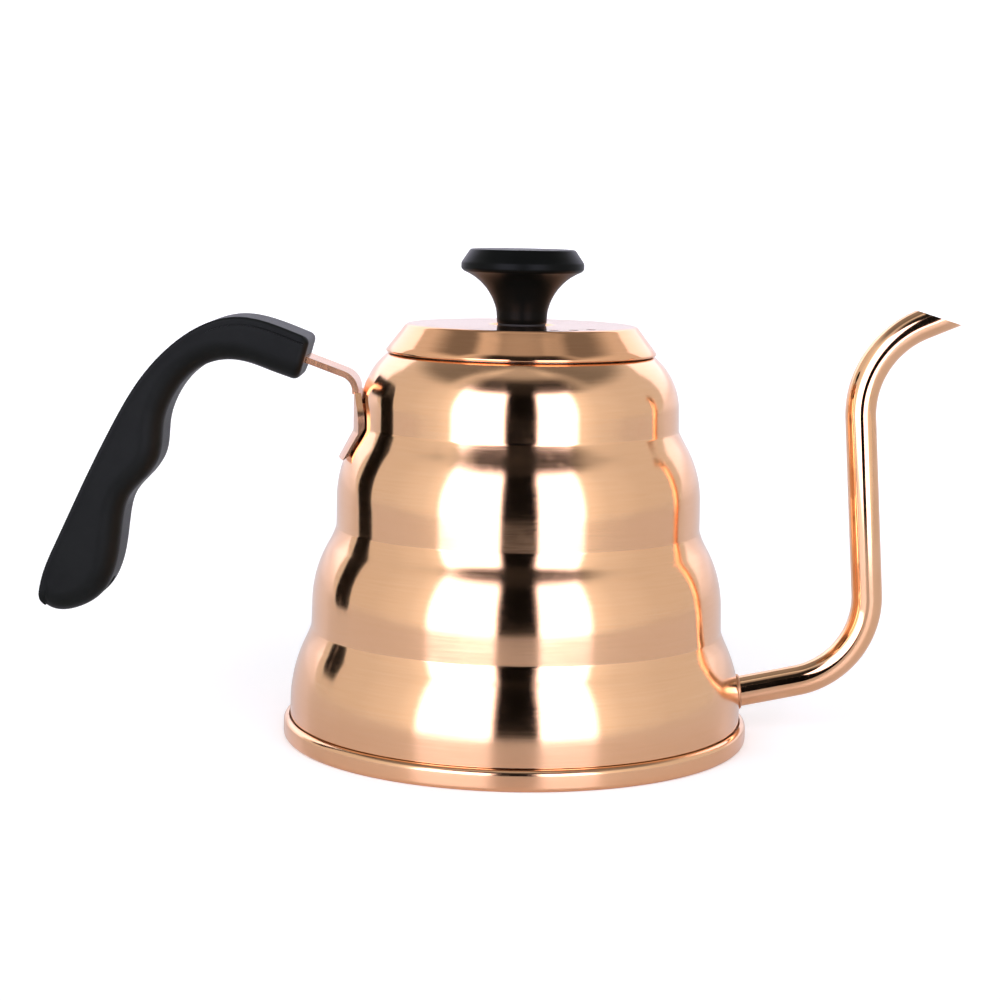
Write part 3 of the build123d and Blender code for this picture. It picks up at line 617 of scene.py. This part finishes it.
def studio_white(name):
    """Matt white backdrop. What the kettle mirrors of it is a little darker and glossier than what is seen
    behind it, and it fades out towards the camera, so that low reflections turn softly from floor to tent."""
    m = Nodes(name)
    place = m.position()
    cloud = m.noise(place, 3.0, 2.0, 0.5)
    white = (0.82, 0.82, 0.80, 1)
    shade = tuple(c * 0.99 for c in white[:3]) + (1,)
    m.set(color=m.blend(cloud, shade, white), rough=0.9, specular=0.2)
    matt = m.shader.outputs[0]
    gloss = m.node("BsdfGlossy", {"Color": (0.8, 0.8, 0.8, 1), "Roughness": 0.3}).outputs[0]
    mirrored = m.node("MixShader", {0: 0.22, 1: matt, 2: gloss}).outputs[0]
    lift = m.node("Emission", {"Strength": 0.42}).outputs[0]
    seen = m.node("AddShader", {0: matt, 1: lift}).outputs[0]
    camera_ray = m.node("LightPath").outputs["Is Camera Ray"]
    surface = m.node("MixShader", {0: camera_ray, 1: mirrored, 2: seen}).outputs[0]
    away = m.node("SeparateXYZ", {0: place}).outputs[1]
    begin, full = FLOOR_FADE_M
    there = m.node("MapRange", {0: away, 1: begin, 2: full, 3: 0.0, 4: 1.0},
                   interpolation_type="SMOOTHSTEP").outputs[0]
    clear = m.node("BsdfTransparent").outputs[0]
    m.link(m.node("MixShader", {0: there, 1: clear, 2: surface}).outputs[0], m.out.inputs["Surface"])
    return m.material


# flat floor, quarter round and back wall, as (away from the camera, height)
sweep = [(FLOOR_NEAR, 0.0), (1500.0, 0.0)]
sweep += arc((1500.0, 0.0), (1, 0), (2300.0, 800.0), 24)
sweep.append((2300.0, 2600.0))
floor_points = [(x, y, z) for x in (-FLOOR_HALF, FLOOR_HALF) for y, z in sweep]
half_count = len(sweep)
floor_faces = [(half_count + i, half_count + i + 1, i + 1, i) for i in range(half_count - 1)]
floor = new_mesh_piece("studio_floor", floor_points, floor_faces)
floor.data.materials.append(studio_white("studio_white"))

# A white tent round the kettle: brightest either side of the slit that the camera looks through.
# Each stop is degrees to the right of the slit, and brightness.
TENT = ((-180, 0.74), (-120, 0.72), (-85, 0.76), (-62, 0.92), (-51, 1.15), (-47.5, 4.0), (-12, 4.2),
        (-10, 0.002), (12, 0.002), (14, 4.2), (39.5, 4.0), (43, 1.15), (58, 0.88), (85, 0.74), (120, 0.72),
        (180, 0.74))
TENT_PEAK = 5.0             # full scale of both ramps
LAMP = 2.0                  # a stop brighter than this is a lamp
LAMP_TINT = (1.0, 0.98, 1.2)
ROOF = ((-180, 0.36), (-95, 0.22), (-72, 0.22), (-62, 0.80), (-46, 0.92), (-34, 0.52), (34, 0.52), (44, 0.82),
        (60, 0.70), (72, 0.22), (95, 0.22), (180, 0.36))
# Heights are sines of the angle above the horizon; each pair is where an edge begins and ends.
ROOF_EDGE = (0.62, 0.80)
OPENING_BOTTOM = (0.615, 0.675)
OPENING_TOP = (0.97, 0.86)
OPENING_MIDDLE = 0.07       # radians to the right of the slit
OPENING_SIDE = (1.25, 0.6)  # radians from that middle
OPENING_DARK = (0.004, 0.004, 0.004, 1)
world = bpy.data.worlds.new("studio")
world.use_nodes = True
sky = world.node_tree


def sky_node(kind, inputs=None, **settings):
    """Node in the world's tree, with its inputs linked or set."""
    made = sky.nodes.new("ShaderNode" + kind)
    for key, value in settings.items():
        setattr(made, key, value)
    for key, value in (inputs or {}).items():
        if isinstance(value, bpy.types.NodeSocket):
            sky.links.new(value, made.inputs[key])
        else:
            made.inputs[key].default_value = value
    return made


toward = sky_node("SeparateXYZ", {0: sky_node("TexCoord").outputs["Generated"]})
backward = sky_node("Math", {0: toward.outputs[1], 1: -1.0}, operation="MULTIPLY").outputs[0]
turned = sky_node("Math", {0: toward.outputs[0], 1: backward}, operation="ARCTAN2").outputs[0]
share = sky_node("MapRange", {0: turned, 1: -math.pi, 2: math.pi, 3: 0.0, 4: 1.0}).outputs[0]


def sky_wall(stops):
    """Brightness round the tent from stops of degrees and brightness."""
    ramp = sky_node("ValToRGB", {0: share})
    for index, (degrees, bright) in enumerate(stops):
        place = (degrees + 180) / 360
        stop = ramp.color_ramp.elements[index] if index < 2 else ramp.color_ramp.elements.new(place)
        stop.position = place
        cool = LAMP_TINT if bright > LAMP else (1.0, 1.0, 1.0)
        stop.color = tuple(bright / TENT_PEAK * c for c in cool) + (1,)
    return ramp.outputs[0]


def sky_ramp(value, zero, one):
    """0 up to one limit and 1 past the other, eased between."""
    low, high, at_low = (zero, one, 0.0) if zero < one else (one, zero, 1.0)
    return sky_node("MapRange", {0: value, 1: low, 2: high, 3: at_low, 4: 1.0 - at_low},
                    interpolation_type="SMOOTHSTEP").outputs[0]


def sky_math(operation, a, b):
    return sky_node("Math", {0: a, 1: b}, operation=operation).outputs[0]


def sky_mix(factor, a, b):
    mixed = sky_node("Mix", data_type="RGBA")
    for socket, value in zip((mixed.inputs[0], mixed.inputs[6], mixed.inputs[7]), (factor, a, b)):
        if isinstance(value, bpy.types.NodeSocket):
            sky.links.new(value, socket)
        else:
            socket.default_value = value
    return mixed.outputs[2]


height = toward.outputs[2]
with_roof = sky_mix(sky_ramp(height, *ROOF_EDGE), sky_wall(TENT), sky_wall(ROOF))
# dark opening over the lamps, between the tent's front wall and its roof
over_lamps = sky_math("MULTIPLY", sky_ramp(height, *OPENING_BOTTOM), sky_ramp(height, *OPENING_TOP))
aside = sky_math("ABSOLUTE", sky_math("SUBTRACT", turned, OPENING_MIDDLE), 0.0)
over_lamps = sky_math("MULTIPLY", over_lamps, sky_ramp(aside, *OPENING_SIDE))
studio = sky_mix(over_lamps, with_roof, OPENING_DARK)
lit = sky.nodes["Background"]
sky.links.new(studio, lit.inputs[0])
backdrop = sky_node("Background", {0: (1, 1, 1, 1), 1: 1.0})
seen = sky_node("MixShader", {0: sky_node("LightPath").outputs["Is Camera Ray"]})
sky.links.new(lit.outputs[0], seen.inputs[1])
sky.links.new(backdrop.outputs[0], seen.inputs[2])
sky.links.new(seen.outputs[0], sky.nodes["World Output"].inputs["Surface"])
lit.inputs[1].default_value = TENT_PEAK
bpy.context.scene.world = world

CAMERA_AT = Vector((0.03, -685.0, 167.85))
YAW, PITCH, ROLL = 0.00845, 0.13536, 0.01789    # radians: left, down, anticlockwise
camera_data = bpy.data.cameras.new("camera")
camera_data.sensor_width = 36.0
camera_data.lens = 79.3
camera_data.clip_start = 0.05
camera_data.clip_end = 50.0
camera = bpy.data.objects.new("camera", camera_data)
bpy.context.scene.collection.objects.link(camera)
forward = Vector((-math.sin(YAW) * math.cos(PITCH), math.cos(YAW) * math.cos(PITCH), -math.sin(PITCH)))
level_right = Vector((math.cos(YAW), math.sin(YAW), 0.0))
level_up = level_right.cross(forward)
right = level_right * math.cos(ROLL) + level_up * math.sin(ROLL)
up = level_up * math.cos(ROLL) - level_right * math.sin(ROLL)
camera.matrix_world = Matrix.Translation(CAMERA_AT * MM) @ Matrix((
    (right.x, up.x, -forward.x, 0),
    (right.y, up.y, -forward.y, 0),
    (right.z, up.z, -forward.z, 0),
    (0, 0, 0, 1),
))
bpy.context.scene.camera = camera
bpy.context.scene.view_settings.view_transform = "Standard"
